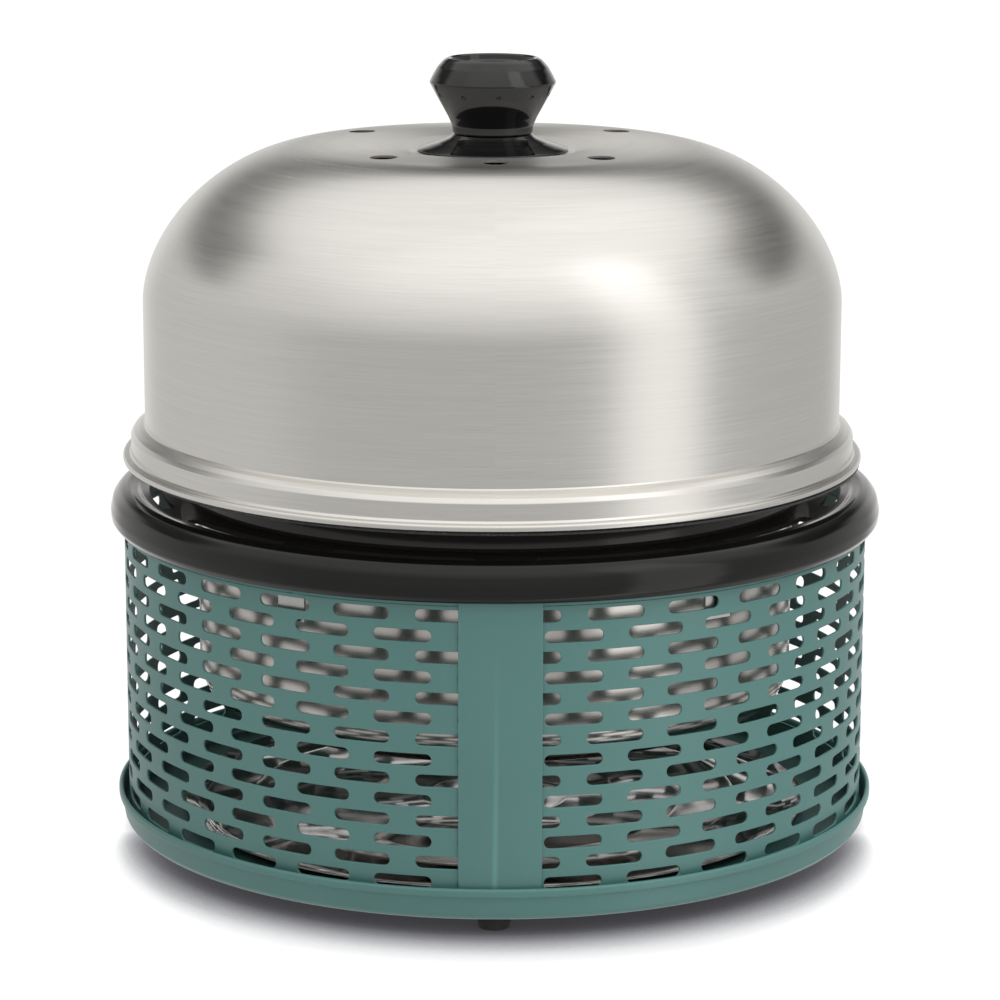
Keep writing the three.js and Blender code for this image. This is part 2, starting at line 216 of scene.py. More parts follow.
def ring_sector(r_in, r_out, middle, span, z0, z1, end_steps=6, arc_steps=16):
    """A curved slot cutter with round ends."""
    half = span / 2
    mid, rad = (r_in + r_out) / 2, (r_out - r_in) / 2
    inset = math.degrees(rad / mid)
    arc = [middle - half + inset + (span - 2 * inset) * i / arc_steps for i in range(arc_steps + 1)]
    points = [at(r_out, a) for a in arc]
    for i in range(1, end_steps):
        t = math.pi * i / end_steps
        points.append(at(mid + rad * math.cos(t), arc[-1] + inset * math.sin(t)))
    points += [at(r_in, a) for a in reversed(arc)]
    for i in range(1, end_steps):
        t = math.pi * i / end_steps
        points.append(at(mid - rad * math.cos(t), arc[0] - inset * math.sin(t)))
    return prism(points, z0, z1)


def round_cutter(radius, x, y, z0, z1, facets=32):
    return prism([(x + radius * math.cos(2 * math.pi * i / facets),
                   y + radius * math.sin(2 * math.pi * i / facets)) for i in range(facets)], z0, z1)


def block_cutter(r0, r1, width, z0, z1, degrees):
    """A box whose length runs along the radius."""
    a = math.radians(degrees)
    along, across = Vector((math.sin(a), -math.cos(a))), Vector((math.cos(a), math.sin(a)))
    corners = [along * r0 - across * width / 2, along * r1 - across * width / 2,
               along * r1 + across * width / 2, along * r0 + across * width / 2]
    return prism([tuple(c) for c in corners], z0, z1)


# ---- material helpers ----
class Shader:
    """A short way to build a material's nodes."""

    def __init__(self, name):
        self.material = bpy.data.materials.new(name)
        self.material.use_nodes = True
        self.tree = self.material.node_tree
        self.bsdf = self.tree.nodes["Principled BSDF"]
        self.coords = self.node("ShaderNodeTexCoord").outputs["Object"]

    def node(self, kind, **values):
        made = self.tree.nodes.new(kind)
        for key, value in values.items():
            setattr(made, key, value)
        return made

    def link(self, a, b):
        self.tree.links.new(a, b)

    def set(self, **values):
        for key, value in values.items():
            self.bsdf.inputs[key.replace("_", " ")].default_value = value

    def math(self, operation, a, b=None):
        made = self.node("ShaderNodeMath", operation=operation)
        for socket, value in zip(made.inputs, (a, b)):
            if value is None:
                continue
            if isinstance(value, (int, float)):
                socket.default_value = value
            else:
                self.link(value, socket)
        return made.outputs[0]

    def stretched(self, x, y, z):
        made = self.node("ShaderNodeMapping")
        made.inputs["Scale"].default_value = (x, y, z)
        self.link(self.coords, made.inputs["Vector"])
        return made.outputs[0]

    def cylindrical(self):
        """The angle round the axis, the radius and the height, in radians and metres."""
        parts = self.node("ShaderNodeSeparateXYZ")
        self.link(self.coords, parts.inputs[0])
        x, y, z = parts.outputs
        squares = self.math("ADD", self.math("MULTIPLY", x, x), self.math("MULTIPLY", y, y))
        radius = self.math("SQRT", squares)
        return self.math("ARCTAN2", x, y), radius, z

    def turned_coords(self, round_scale, height_scale, radius_scale=0.0):
        """Coordinates that run round the axis, up it and out from it, for brushing and streaks."""
        turn, radius, z = self.cylindrical()
        made = self.node("ShaderNodeCombineXYZ")
        self.link(self.math("MULTIPLY", turn, round_scale), made.inputs[0])
        self.link(self.math("MULTIPLY", z, height_scale), made.inputs[1])
        self.link(self.math("MULTIPLY", radius, radius_scale), made.inputs[2])
        return made.outputs[0]

    def by_radius(self, r0, r1, low, high):
        """A value that goes from low inside r0 to high outside r1, both radii in metres."""
        made = self.node("ShaderNodeMapRange", interpolation_type="SMOOTHSTEP")
        for name, value in (("From Min", r0), ("From Max", r1), ("To Min", low), ("To Max", high)):
            made.inputs[name].default_value = value
        self.link(self.cylindrical()[1], made.inputs["Value"])
        return made.outputs["Result"]

    def noise(self, vector, scale, detail=3.0, roughness=0.55):
        made = self.node("ShaderNodeTexNoise")
        made.inputs["Scale"].default_value = scale
        made.inputs["Detail"].default_value = detail
        made.inputs["Roughness"].default_value = roughness
        self.link(vector, made.inputs["Vector"])
        return made.outputs["Fac"]

    def ramp(self, fac, stops):
        made = self.node("ShaderNodeValToRGB")
        elements = made.color_ramp.elements
        while len(elements) < len(stops):
            elements.new(0.5)
        for element, (place, colour) in zip(elements, stops):
            element.position = place
            element.color = (*colour, 1) if len(colour) == 3 else colour
        self.link(fac, made.inputs[0])
        return made.outputs["Color"]

    def spread(self, fac, low, high):
        made = self.node("ShaderNodeMapRange")
        made.inputs["To Min"].default_value = low
        made.inputs["To Max"].default_value = high
        self.link(fac, made.inputs["Value"])
        return made.outputs["Result"]

    def bump(self, height, strength, distance):
        made = self.node("ShaderNodeBump")
        made.inputs["Strength"].default_value = strength
        made.inputs["Distance"].default_value = distance
        self.link(height, made.inputs["Height"])
        self.link(made.outputs["Normal"], self.bsdf.inputs["Normal"])
        return made

    def edge_wear(self, low, high):
        """0 on flat faces and 1 on worn convex edges."""
        made = self.node("ShaderNodeNewGeometry")
        return self.ramp(made.outputs["Pointiness"], [(low, (0, 0, 0)), (high, (1, 1, 1))])

    def mix(self, fac, a, b):
        made = self.node("ShaderNodeMix", data_type="RGBA")
        self.link(fac, made.inputs["Factor"])
        sockets = [s for s in made.inputs if s.type == "RGBA"]
        for socket, value in zip(sockets, (a, b)):
            if isinstance(value, tuple):
                socket.default_value = (*value, 1)
            else:
                self.link(value, socket)
        return [s for s in made.outputs if s.type == "RGBA"][0]


def shade(colour, factor):
    return tuple(min(1.0, c * factor) for c in colour)


def powder_coat():
    s = Shader("teal_powder_coat")
    teal = (0.072, 0.184, 0.172)
    cloud = s.noise(s.coords, 9.0, 4.0)
    colour = s.ramp(cloud, [(0.3, shade(teal, 0.94)), (0.7, shade(teal, 1.06))])
    wear = s.edge_wear(0.54, 0.62)
    s.link(s.mix(wear, colour, shade(teal, 1.45)), s.bsdf.inputs["Base Color"])
    grain = s.noise(s.coords, 900.0, 2.0)
    s.link(s.spread(grain, 0.36, 0.46), s.bsdf.inputs["Roughness"])
    s.bump(grain, 0.12, 0.0003)
    s.set(Coat_Weight=0.15, Coat_Roughness=0.3)
    return s.material


def brushed_steel(name, colour, roughness, anisotropy, lines=1.0, dull_crown=0.0):
    """Steel brushed round its axis, with fine lines in the colour, the roughness and the bump.

    dull_crown is the roughness added near the axis.
    """
    s = Shader(name)
    fine_scale, fine_share = 2600, 0.72
    wide_scale = fine_scale / 9
    lines_fine = s.noise(s.turned_coords(3.0, fine_scale, fine_scale), 1.0, 5.0, 0.7)
    lines_wide = s.noise(s.turned_coords(1.3, wide_scale, wide_scale), 1.0, 3.0)
    both = s.math("ADD", s.math("MULTIPLY", lines_fine, fine_share),
                  s.math("MULTIPLY", lines_wide, 1 - fine_share))
    dark, light = shade(colour, 1 - 0.10 * lines), shade(colour, 1 + 0.06 * lines)
    s.link(s.ramp(both, [(0.25, dark), (0.75, light)]), s.bsdf.inputs["Base Color"])
    rough = s.spread(both, roughness - 0.06 * lines, roughness + 0.08 * lines)
    s.link(s.math("ADD", rough, s.by_radius(0.060, 0.095, dull_crown, 0)), s.bsdf.inputs["Roughness"])
    tangent = s.node("ShaderNodeTangent", direction_type="RADIAL", axis="Z")
    s.link(tangent.outputs[0], s.bsdf.inputs["Tangent"])
    s.set(Metallic=1.0, Anisotropic=anisotropy)
    s.bump(both, 0.05 * lines, 0.0002)
    return s.material


def wavy_steel():
    s = Shader("wavy_polished_steel")
    wave = s.noise(s.coords, 13.0, 1.0, 0.3)
    # painted shade: the steel's colour is far darker than bright steel, standing in for the dim space under
    # the bowl
    s.link(s.ramp(s.noise(s.coords, 60.0), [(0.3, (0.36, 0.35, 0.34)), (0.7, (0.46, 0.45, 0.44))]),
           s.bsdf.inputs["Base Color"])
    s.link(s.spread(s.noise(s.coords, 300.0), 0.05, 0.12), s.bsdf.inputs["Roughness"])
    s.set(Metallic=1.0)
    s.bump(wave, 1.0, 0.012)
    return s.material


def knob_plastic():
    """High gloss black, with faint smears."""
    s = Shader("knob_black")
    black = (0.004, 0.004, 0.0042)
    cloud = s.noise(s.coords, 14.0, 3.0)
    colour = s.ramp(cloud, [(0.3, shade(black, 0.85)), (0.7, shade(black, 1.2))])
    s.link(colour, s.bsdf.inputs["Base Color"])
    smear = s.noise(s.coords, 35.0, 5.0, 0.6)
    s.link(s.spread(smear, 0.04, 0.08), s.bsdf.inputs["Roughness"])
    s.set(Specular_IOR_Level=0.62)
    s.bump(s.noise(s.coords, 60.0, 2.0), 0.03, 0.0002)
    return s.material


def ring_plastic():
    """Glossy black, painted duller and greyer on the ledge inside the crest: painted light, standing in for
    the light the ledge reflects.
    """
    s = Shader("ring_black")
    outside = s.by_radius(0.148, 0.152, 0, 1)
    cloud = s.noise(s.coords, 14.0, 3.0)
    gloss = s.ramp(cloud, [(0.3, (0.0032, 0.0031, 0.003)), (0.7, (0.0048, 0.0046, 0.0044))])
    # painted light: inside the crest the ledge gets a lighter grey in place of the light its glossy surface
    # reflects
    s.link(s.mix(outside, (0.034, 0.031, 0.029), gloss), s.bsdf.inputs["Base Color"])
    s.link(s.spread(s.noise(s.coords, 35.0, 5.0, 0.6), 0.09, 0.13), s.bsdf.inputs["Roughness"])
    s.set(Specular_IOR_Level=0.38)
    s.bump(s.noise(s.coords, 1200.0, 2.0), 0.03, 0.0002)
    return s.material


def rubber():
    s = Shader("foot_rubber")
    s.link(s.ramp(s.noise(s.coords, 220.0), [(0.3, (0.010, 0.010, 0.010)), (0.7, (0.022, 0.022, 0.021))]),
           s.bsdf.inputs["Base Color"])
    s.set(Roughness=0.8)
    s.bump(s.noise(s.coords, 1500.0), 0.25, 0.0002)
    return s.material


def non_stick():
    s = Shader("non_stick_coating")
    speckle = s.noise(s.coords, 1400.0, 2.0)
    s.link(s.ramp(speckle, [(0.45, (0.016, 0.016, 0.017)), (0.72, (0.05, 0.05, 0.052))]),
           s.bsdf.inputs["Base Color"])
    s.link(s.spread(s.noise(s.coords, 40.0), 0.38, 0.55), s.bsdf.inputs["Roughness"])
    s.bump(speckle, 0.2, 0.0003)
    return s.material


def machined(name, colour):
    s = Shader(name)
    lines = s.noise(s.stretched(1, 1, 6), 700.0, 3.0)
    s.link(s.ramp(lines, [(0.3, shade(colour, 0.8)), (0.7, colour)]), s.bsdf.inputs["Base Color"])
    s.link(s.spread(lines, 0.25, 0.42), s.bsdf.inputs["Roughness"])
    s.set(Metallic=1.0)
    s.bump(lines, 0.1, 0.0002)
    return s.material


TEAL = powder_coat()
LID_STEEL = brushed_steel("lid_brushed_steel", (0.76, 0.745, 0.715), 0.24, 0.65, dull_crown=0.2)
BOWL_STEEL = brushed_steel("bowl_bright_steel", (0.72, 0.69, 0.66), 0.17, 0.5, lines=0.5)
BASKET_STEEL = brushed_steel("basket_satin_steel", (0.55, 0.54, 0.52), 0.34, 0.3)
MIRROR_STEEL = wavy_steel()
RING_BLACK = ring_plastic()
KNOB_BLACK = knob_plastic()
RUBBER = rubber()
NON_STICK = non_stick()
FASTENER = machined("fastener_steel", (0.60, 0.60, 0.59))
BRASS = machined("brass_insert", (0.75, 0.55, 0.26))


def finished(obj, body, slot, material, *nodes):
    """Gives a piece its material, its body and the CAD nodes that it stands for. The slot is not used."""
    obj.data.materials.clear()
    obj.data.materials.append(material)
    for polygon in getattr(obj.data, "polygons", ()):
        polygon.material_index = 0
    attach(obj, body)
    if nodes:
        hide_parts(*nodes)
    return obj


# ---- base ----
def foot_place(i):
    return at(FOOT_CIRCLE, 360 / FEET * i)


def tray():
    outline = [
        (0, 7), (155.2, 7, 2.5), (157.0, 9.4, 2), (158.0, 16.6, 0.6), (159.3, 17.2, 1), (159.3, 20.0, 1.4),
        (158.0, 20.6, 0.9), (157.4, 19.6, 0.8), (157.0, 16, 1), (156.1, 9.6, 1.4), (154.4, 8.2, 1),
        (0, 8.2),
    ]
    shell = turned("tray_shell", outline, facets=240, closed=False)
    holes = gather("holes", [round_cutter(2.4, *foot_place(i), 5, 10) for i in range(FEET)])
    cut(shell, holes)
    finished(shell, "base", "teal_coating", TEAL, "base_tray")


def feet():
    for i in range(FEET):
        x, y = foot_place(i)
        foot = turned(f"foot_{i + 1}", [
            (0, 0), (6.6, 0, 0.8), (7, 3, 1.5), (6.8, 6.7, 0.8), (2.4, 6.7), (2.4, 2), (0, 2),
        ], SMOOTH, closed=False)
        foot.data.transform(Matrix.Translation((x * MM, y * MM, 0)))
        finished(foot, "base", "foot_rubber", RUBBER, f"rubber_foot_{i + 1}")
        add_screw(f"tray_screw_{i + 1}", (x, y, 8.5), 2, 3.6, -6.2, 2, f"foot_screw_{i + 1}", "base")


def add_screw(name, place, shank, head, tip, height, node, body, down=False):
    """A pan head with a cross recess, on a plain shank."""
    obj = turned(name, [
        (0, tip), (shank * 0.8, tip), (shank, tip + 0.8), (shank, 0), (head, 0, 0.2),
        (head * 0.96, height * 0.45, 0.5), (head * 0.62, height, 1), (0, height),
    ], 32, closed=False)
    for k, a in enumerate((45, 135)):
        arm = block_cutter(-head * 0.5, head * 0.5, head * 0.24, height * 0.35, height + 1, a)
        cut(obj, gather(f"arm_{k}", [arm]))
    flip = Matrix.Rotation(math.pi, 4, "X") if down else Matrix.Identity(4)
    obj.data.transform(Matrix.Translation(Vector(place) * MM) @ flip)
    return finished(obj, body, "fastener_steel", FASTENER, node)


def reflector():
    low, thick = 8.6, 0.8
    wave = [(0, 2.4), (30, 0.6), (52, 2.2), (78, 0.6), (102, 2.2), (124, 0.2)]
    under = [(r, low + z, 20) for r, z in wave]
    over = [(r, low + z + thick, 20) for r, z in reversed(wave)]
    outline = under + [(131.8, low + 3.2, 0.5), (131.2, low + 4.0, 0.4)] + over
    sheet = turned("reflector_sheet", outline, closed=False, steps=8)
    finished(sheet, "base", "polished_steel", MIRROR_STEEL, "heat_reflector")


def slot_outline(cx, cz, length, height, end_steps=8, side_steps=5):
    """Points of a stadium in the unrolled sheet, anticlockwise from its right end."""
    half, radius = length / 2 - height / 2, height / 2
    points = []
    for side, start in ((1, -90), (-1, 90)):
        for i in range(end_steps + 1):
            a = math.radians(start + 180 * i / end_steps)
            points.append((cx + side * half + radius * math.cos(a), cz + radius * math.sin(a)))
        for i in range(1, side_steps):
            points.append((cx + side * half * (1 - 2 * i / side_steps), cz + side * radius))
    return points


def cell_edge(u0, u1, z0, z1, steps):
    """Points round a rectangle of the unrolled sheet, anticlockwise from its lower left corner."""
    bottom = [(u0 + (u1 - u0) * i / steps, z0) for i in range(steps)]
    right = [(u1, z0 + (z1 - z0) * i / 2) for i in range(2)]
    top = [(u1 - (u1 - u0) * i / steps, z1) for i in range(steps)]
    left = [(u0, z1 - (z1 - z0) * i / 2) for i in range(2)]
    return bottom + right + top + left


def perforated_sheet():
    """The sleeve: the sheet is laid out flat with its slots, then wrapped round the axis."""
    bm = bmesh.new()
    degree = SLEEVE_R * math.pi / 180
    pitch = COLUMN_PITCH * degree
    middle = (COLUMNS - 1) / 2
    start = (COLUMN_START - middle * COLUMN_PITCH) * degree
    rows_bottom = TOP_ROW_Z - (ROWS - 1) * ROW_PITCH - ROW_PITCH / 2
    turn = 2 * math.pi * SLEEVE_R

    def fill(edge, slot=None):
        loops = [[bm.verts.new((u, 0, z)) for u, z in edge]]
        if slot:
            loops.append([bm.verts.new((u, 0, z)) for u, z in slot])
        edges = [bm.edges.new((loop[i - 1], loop[i])) for loop in loops for i in range(len(loop))]
        bmesh.ops.triangle_fill(bm, use_beauty=True, use_dissolve=False, edges=edges)

    for row in range(ROWS):
        z = TOP_ROW_Z - row * ROW_PITCH
        z0, z1 = z - ROW_PITCH / 2, z + ROW_PITCH / 2
        first = start if row % 2 == 0 else start - pitch / 2    # left edge of the row's first cell
        for k in range(COLUMNS):
            centre = first + (k + 0.5) * pitch
            fill(cell_edge(centre - pitch / 2, centre + pitch / 2, z0, z1, 8),
                 slot_outline(centre, z, SLOT_L, SLOT_H))
        fill(cell_edge(first + COLUMNS * pitch, first + turn, z0, z1, 3))    # the wider land at the back
    for z0, z1 in ((SLEEVE_Z0, rows_bottom), (TOP_ROW_Z + ROW_PITCH / 2, SLEEVE_Z1)):
        count = COLUMNS * 8
        for k in range(count):
            u0, u1 = start + turn * k / count, start + turn * (k + 1) / count
            fill([(u0, z0), (u1, z0), (u1, z1), (u0, z1)])
    for v in bm.verts:
        u, z = v.co.x, v.co.z
        x, y = at(SLEEVE_R, u / degree)
        v.co = Vector((x, y, z)) * MM
    bmesh.ops.remove_doubles(bm, verts=bm.verts, dist=2e-5)
    bmesh.ops.recalc_face_normals(bm, faces=bm.faces)
    mesh = bpy.data.meshes.new("sleeve_sheet")
    bm.to_mesh(mesh)
    bm.free()
    sheet = bpy.data.objects.new("sleeve_sheet", mesh)
    scene.collection.objects.link(sheet)
    outward = sum(p.normal.dot(p.center.normalized()) for p in mesh.polygons)
    if outward < 0:
        mesh.flip_normals()
    solid = sheet.modifiers.new("sheet", "SOLIDIFY")
    solid.thickness, solid.offset, solid.use_even_offset = SHEET * MM, -1, True
    rolled(bevelled(sheet, 0.28, 2))
    finished(sheet, "base", "teal_coating", TEAL, "perforated_sleeve")


def strap():
    inner, steps = SLEEVE_R + GAP, 16
    angles = [STRAP_ANGLE - STRAP_SPAN / 2 + STRAP_SPAN * i / steps for i in range(steps + 1)]
    outline = [at(inner + STRAP_SHEET, a) for a in angles] + [at(inner, a) for a in reversed(angles)]
    obj = gather("strap_band", [prism(outline, STRAP_Z0, STRAP_Z1)])
    rolled(bevelled(obj, 0.32, 3))
    finished(obj, "base", "teal_coating", TEAL, "front_strap")


def boss_place(land):
    return at(BOSS_CIRCLE, RING_LAND + 360 / RING_SLOTS * land)


def carrying_ring():
    under = LEDGE_Z - 1.9
    outline = [
        (157.3, RING_Z0 + 0.4, 0.3), (158.4, RING_Z0, 0.5), (160.2, 135.8, 3), (RING_R, 139.3, 5),
        (159.4, 144.4, 6), (156.6, 147.9, 5), (CREST_R, CREST_Z, 4), (149.4, 148.2, 3),
        (147.6, 147.0, 2), (145.6, LEDGE_Z, 2),
        (COLLAR_R + 3.0, LEDGE_Z - 0.2, 1.4), (COLLAR_R + 2.2, LEDGE_Z + 1.0, 1), (COLLAR_R, 155.8, 0.7),
        (125, 155.8, 0.5), (125, under, 1), (146.4, under, 1.5), (149.6, 146.2, 1.5),
        (CREST_R, CREST_Z - 1.8, 3),
        (156.4, 145.2, 4), (158.4, 140.6, 4), (158.5, 136, 1),
    ]
    ring = turned("carrying_ring", outline, facets=240, steps=6)
    slots = []
    for k in range(RING_SLOTS):
        middle = RING_LAND + 360 / RING_SLOTS * (k + 0.5)
        slots.append(ring_sector(RING_SLOT_IN, RING_SLOT_OUT, middle, RING_SLOT_SPAN, 140, 150))
    cut(ring, gather("slots", slots))
    bosses = []
    for k in BOSS_LANDS:
        x, y = boss_place(k)
        top = under + 0.3
        boss = turned(f"boss_{k}", [(2.1, 139), (3.6, 139, 0.3), (3.6, top), (2.1, top)], 32)
        boss.data.transform(Matrix.Translation((x * MM, y * MM, 0)))
        bosses.append(boss)
    finished(joined([ring, *bosses]), "base", "ring_plastic", RING_BLACK, "cool_touch_ring")


def brackets():
    for i, k in enumerate(BOSS_LANDS):
        x, y = boss_place(k)
        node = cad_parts[f"ring_bracket_{i + 1}"]
        node.data.materials.clear()
        node.data.materials.append(FASTENER)
        bevelled(node, 0.2, 2)
        add_screw(f"ledge_screw_{i + 1}", (x, y, 137.2), 1.8, 3.4, -6.6, 2, f"ring_screw_{i + 1}",
                  "base", down=True)


# ---- bowl, basket and plate ----
def bowl():
    outline = [
        (0, 80.6), (55.6, 80.6, 5), (65.6, 57, 7), (124.3, 57, 18.3), (124.3, 156.1, 1),
        (131.4, 156.1, 0.3), (131.4, 157.1, 0.4), (123.3, 157.1, 1.6), (123.3, 58, 17.3), (66.4, 58, 7),
        (56.4, 81.6, 5), (0, 81.6),
    ]
    obj = turned("bowl_shell", outline, facets=200, closed=False, steps=9)
    finished(obj, "bowl", "bowl_steel", BOWL_STEEL, "inner_bowl")


def fire_basket():
    wall = turned("basket_wall", [
        (44, BASKET_Z0), (BASKET_R, BASKET_Z0, 1.2), (BASKET_R, 114.2, 0.6), (51.2, 114.4, 0.6),
        (51.2, BASKET_Z1, 0.8), (49, BASKET_Z1, 0.4), (49, BASKET_Z0 + 1, 0.6), (44, BASKET_Z0 + 1),
    ], FINE)
    slots = [stadium_cutter(360 / 16 * (i + 0.5)) for i in range(16)]
    cut(wall, gather("slots", slots))
    lugs = [lug(f"lug_{i}", a) for i, a in enumerate((90, 270))]
    finished(joined([wall, *lugs]), "basket", "basket_steel", BASKET_STEEL, "fire_basket")
    z = BASKET_Z0 + 1.3
    plate = [(0, z), (48.4, z, 0.3), (48.4, z + SHEET, 0.3), (0, z + SHEET)]
    disc = turned("grate_disc", plate, FINE, closed=False)
    bars = []
    for x in (-30, -18, -6, 6, 18, 30):
        half = math.sqrt(42 ** 2 - x ** 2) - 2.5
        ends = [(x + 2.5 * math.cos(math.radians(a)), side * half + 2.5 * math.sin(math.radians(a)))
                for side, first in ((1, 0), (-1, 180)) for a in range(first, first + 181, 30)]
        bars.append(prism(ends, z - 2, z + 3))
    cut(disc, gather("bars", bars))
    finished(disc, "basket", "basket_steel", BASKET_STEEL, "basket_grate")


def stadium_cutter(degrees):
    """An upright slot with round ends through the basket's wall."""
    half, radius = 4.8, 3.5
    points = []
    for side, start in ((1, 0), (-1, 180)):
        for a in map(math.radians, range(start, start + 181, 30)):
            points.append((radius * math.cos(a), side * half + radius * math.sin(a)))
    verts, faces = prism(points, -6, 6)
    turn = Matrix.Rotation(math.radians(degrees), 4, "Z")
    place = Matrix.Translation((0, -BASKET_R, 98.5)) @ Matrix.Rotation(math.radians(90), 4, "X")
    return [tuple(turn @ place @ Vector(v)) for v in verts], faces


def lug(name, degrees):
    """An ear on the basket's wall with an eye for the bail."""
    steps, outer, eye, r0, r1 = 14, 5, 2.1, BASKET_R - 1, BASKET_R + 0.2
    arch = [(outer * math.cos(math.pi * i / steps), PIVOT_Z - 0.5 + outer * math.sin(math.pi * i / steps))
            for i in range(steps + 1)]
    outline = arch + [(-outer, 110), (outer, 110)]
    n = len(outline)
    verts = [(u, -r1, z) for u, z in outline] + [(u, -r0, z) for u, z in outline]
    faces = [tuple(range(n)), tuple(reversed(range(n, 2 * n)))]
    faces += [(i, n + i, n + (i + 1) % n, (i + 1) % n) for i in range(n)]
    turn = Matrix.Rotation(math.radians(degrees), 4, "Z")
    ear = make(name, [tuple(turn @ Vector(v)) for v in verts], faces)
    hole = round_cutter(eye, 0, 0, -60, 60, 24)
    place = Matrix.Translation((0, 0, PIVOT_Z)) @ Matrix.Rotation(math.radians(90), 4, "Y")
    return cut(ear, gather("eye", [([tuple(place @ Vector(v)) for v in hole[0]], hole[1])]))


def bail():
    half = [(-47.5, 0), (-51.8, 0), (-54, 1.6), (-54.3, 5), (-53, 12), (-46, 22), (-30, 28.6)]
    path = half + [(0, 31)] + [(-x, d) for x, d in reversed(half)]
    curve = bpy.data.curves.new("bail_wire", "CURVE")
    curve.dimensions, curve.use_fill_caps = "3D", True
    curve.bevel_depth, curve.bevel_resolution = WIRE_R * MM, 5
    spline = curve.splines.new("NURBS")
    spline.points.add(len(path) - 1)
    for point, (x, d) in zip(spline.points, path):
        point.co = (x * MM, -d * MM, PIVOT_Z * MM, 1)
    spline.use_endpoint_u, spline.order_u, spline.resolution_u = True, 3, 10
    obj = bpy.data.objects.new("bail_wire", curve)
    scene.collection.objects.link(obj)
    mesh = bpy.data.meshes.new_from_object(obj.evaluated_get(bpy.context.evaluated_depsgraph_get()))
    bpy.data.objects.remove(obj)
    wire = bpy.data.objects.new("bail_wire", mesh)
    scene.collection.objects.link(wire)
    finished(wire, "bail", "basket_steel", BASKET_STEEL, "basket_bail")


def grill_plate():
    outline = [
        (0, 159.4), (90, 158.8, 6), (101, 151, 4), (118, 151, 3), (121.4, 157.4, 1), (131, 157.4, 4),
        (151.8, 158.2, 0.4), (151.8, 159.4, 0.5), (131, 158.8, 4), (122.4, 158.8, 2), (117, 153, 3),
        (102, 153, 4), (91.4, 161.2, 5), (84, 161.4, 4), (0, 161.4),
    ]
    plate = turned("plate_disc", outline, facets=200, closed=False, steps=6)
    slots = []
    for i in range(12):
        a = math.radians(30 * i)
        along, across = Vector((math.sin(a), -math.cos(a))), Vector((math.cos(a), math.sin(a)))
        points = []
        for centre, start in ((78, -90), (50, 90)):
            for step in range(9):
                t = math.radians(start + 22.5 * step)
                points.append(tuple(along * (centre + 2 * math.cos(t)) + across * 2 * math.sin(t)))
        slots.append(prism(points, 150, 170))
    cut(plate, gather("slots", slots))
    finished(plate, "plate", "plate_coating", NON_STICK, "grill_plate")


# ---- lid ----
def shoulder(inset, steps=26):
    """A quarter of a superellipse between the upright wall and the crown."""
    power = 2 / SHOULDER_POWER
    a, b = LID_R - inset - SHOULDER_R, CROWN_Z - inset - SHOULDER_Z
    points = []
    for i in range(steps + 1):
        t = math.pi / 2 * i / steps
        r, z = a * max(math.cos(t), 0) ** power, b * math.sin(t) ** power
        points.append((SHOULDER_R + r, SHOULDER_Z + z))
    return points


def shifted(obj):
    obj.data.transform(Matrix.Translation((LID_SHIFT * MM, 0, 0)))
    return obj


def lid():
    t, screw_hole = LID_SHEET, 3.2
    outside = [
        (150.2, 159.7, 0.4), (153.7, 159.7, 1.6), (153.7, 162.6, 1.6), (151.0, 162.7, 0.5),
        (150.3, 163.6, 0.6), (150.2, 170.2, 1.2), (149.0, 172.0, 1.2), (146.8, 173.4, 1.2),
        (144.8, 174.3, 0.3), (LID_R, 174.9, 0.3),
    ]
    inside = [
        (LID_R - t, 173.7, 0.5), (146.4, 172.6, 1), (148.3, 171.3, 1), (149.3, 169.8, 0.8),
        (149.3, 159.9, 0.3),
    ]
    outline = outside + shoulder(0) + CROWN + [(34.2, DISH_Z, 3), (screw_hole, DISH_Z)]
    outline += [(screw_hole, DISH_Z - t), (34.5, DISH_Z - t, 3)]
    outline += [(r, z - t, soft) for r, z, soft in reversed(CROWN)]
    outline += list(reversed(shoulder(t))) + inside
    dome = turned("dome_shell", outline, facets=256)
    vents = [round_cutter(VENT_R, *at(VENT_CIRCLE, a), 270, 300) for a in VENT_ANGLES]
    cut(dome, gather("vents", vents))
    finished(shifted(dome), "lid", "lid_steel", LID_STEEL, "lid_dome")


